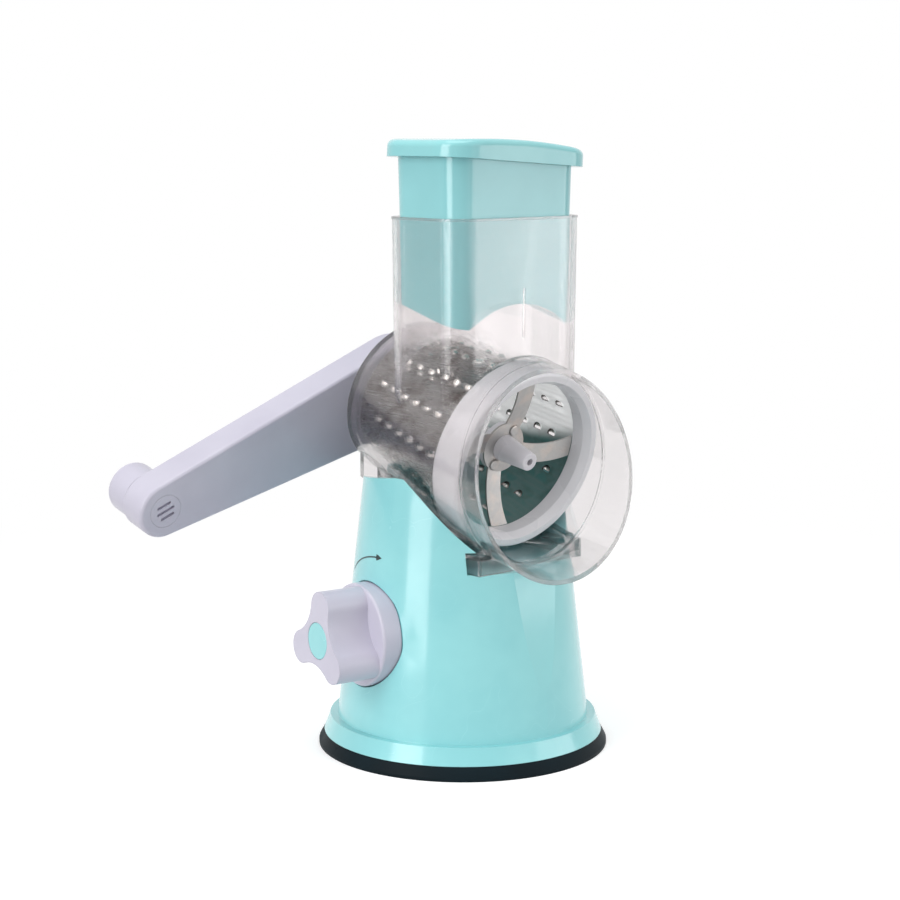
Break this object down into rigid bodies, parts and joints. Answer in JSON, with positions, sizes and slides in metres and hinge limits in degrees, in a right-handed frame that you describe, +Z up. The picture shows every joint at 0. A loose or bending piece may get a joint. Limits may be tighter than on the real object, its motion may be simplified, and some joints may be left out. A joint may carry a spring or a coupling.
{
  "type": "rotary grater",
  "caption": "Hand cranked drum grater on a suction base, with a clear hopper, a food pusher and a conical steel cutting drum.",
  "frame": {"origin": "middle of the suction cup's underside, on the table", "axes": "+Z up; +X towards the side of the drum's mouth, which also looks 15 degrees down; the crank arm and the suction knob are on the -Y side"},
  "size_m": [0.153, 0.1984, 0.2694],
  "materials": {
    "turquoise": "gloss",
    "clear": "clear",
    "clear_turquoise": "gloss",
    "lavender": "satin",
    "white": "gloss",
    "hub_grey": "satin",
    "steel": "polished",
    "zinc": "satin",
    "rubber": "matte",
    "inner_plastic": "matte",
    "bush_plastic": "matte"
  },
  "bodies": {
    "base": {"base_shell": "turquoise", "suction_cup": "rubber", "base_plate": "inner_plastic", "base_screws": "zinc", "cam_bracket": "inner_plastic", "bracket_screws": "zinc", "knob_bush": "bush_plastic"},
    "stem": {"cup_stem": "bush_plastic"},
    "knob": {"suction_knob": "lavender", "knob_cap": "turquoise", "knob_screw": "zinc", "cam_shaft": "zinc", "shaft_clip": "zinc"},
    "chamber": {"clear_chamber": "clear", "shaft_bush": "bush_plastic"},
    "crank": {"crank_arm": "lavender", "crank_cover": "lavender", "cover_screws": "zinc", "crank_shaft": "zinc", "shaft_screw": "zinc", "grip_axle": "lavender", "grip_clip": "zinc"},
    "grip": {"crank_grip": "lavender", "grip_end_cap": "lavender"},
    "drum": {"drum_sleeve": "steel", "drum_ring": "white", "front_spider": "steel", "drum_hub": "hub_grey", "front_rivets": "steel", "rear_spider": "steel", "rear_hub": "hub_grey", "rear_rivets": "steel"},
    "pusher": {"pusher_body": "clear_turquoise", "pusher_lid": "turquoise"}
  },
  "joints": [
    {"name": "knob_turn", "type": "hinge", "parent": "base", "child": "knob", "pos_m": [0, 0, 0.0556], "axis": [-0.1305, -0.9914, 0], "range_deg": [0, 90]},
    {"name": "stem_lift", "type": "slide", "parent": "base", "child": "stem", "axis": [0, 0, 1], "range_m": [0, 0.003]},
    {"name": "chamber_slide", "type": "slide", "parent": "base", "child": "chamber", "axis": [1, 0, 0], "range_m": [0, 0.03]},
    {"name": "crank_turn", "type": "hinge", "parent": "chamber", "child": "crank", "pos_m": [-0.04057, 0, 0.15467], "axis": [0.9659, 0, -0.2588], "continuous": true},
    {"name": "grip_spin", "type": "hinge", "parent": "crank", "child": "grip", "pos_m": [-0.0755, -0.12075, 0.11704], "axis": [0.9659, 0, -0.2588], "continuous": true},
    {"name": "drum_pull", "type": "slide", "parent": "crank", "child": "drum", "axis": [0.9659, 0, -0.2588], "range_m": [0, 0.09]},
    {"name": "pusher_slide", "type": "slide", "parent": "chamber", "child": "pusher", "axis": [0, 0, 1], "range_m": [-0.0195, 0.06]}
  ],
  "couplings": [
    {"joint": "knob_turn", "follows": "stem_lift", "rad_per_m": 523.6}
  ]
}
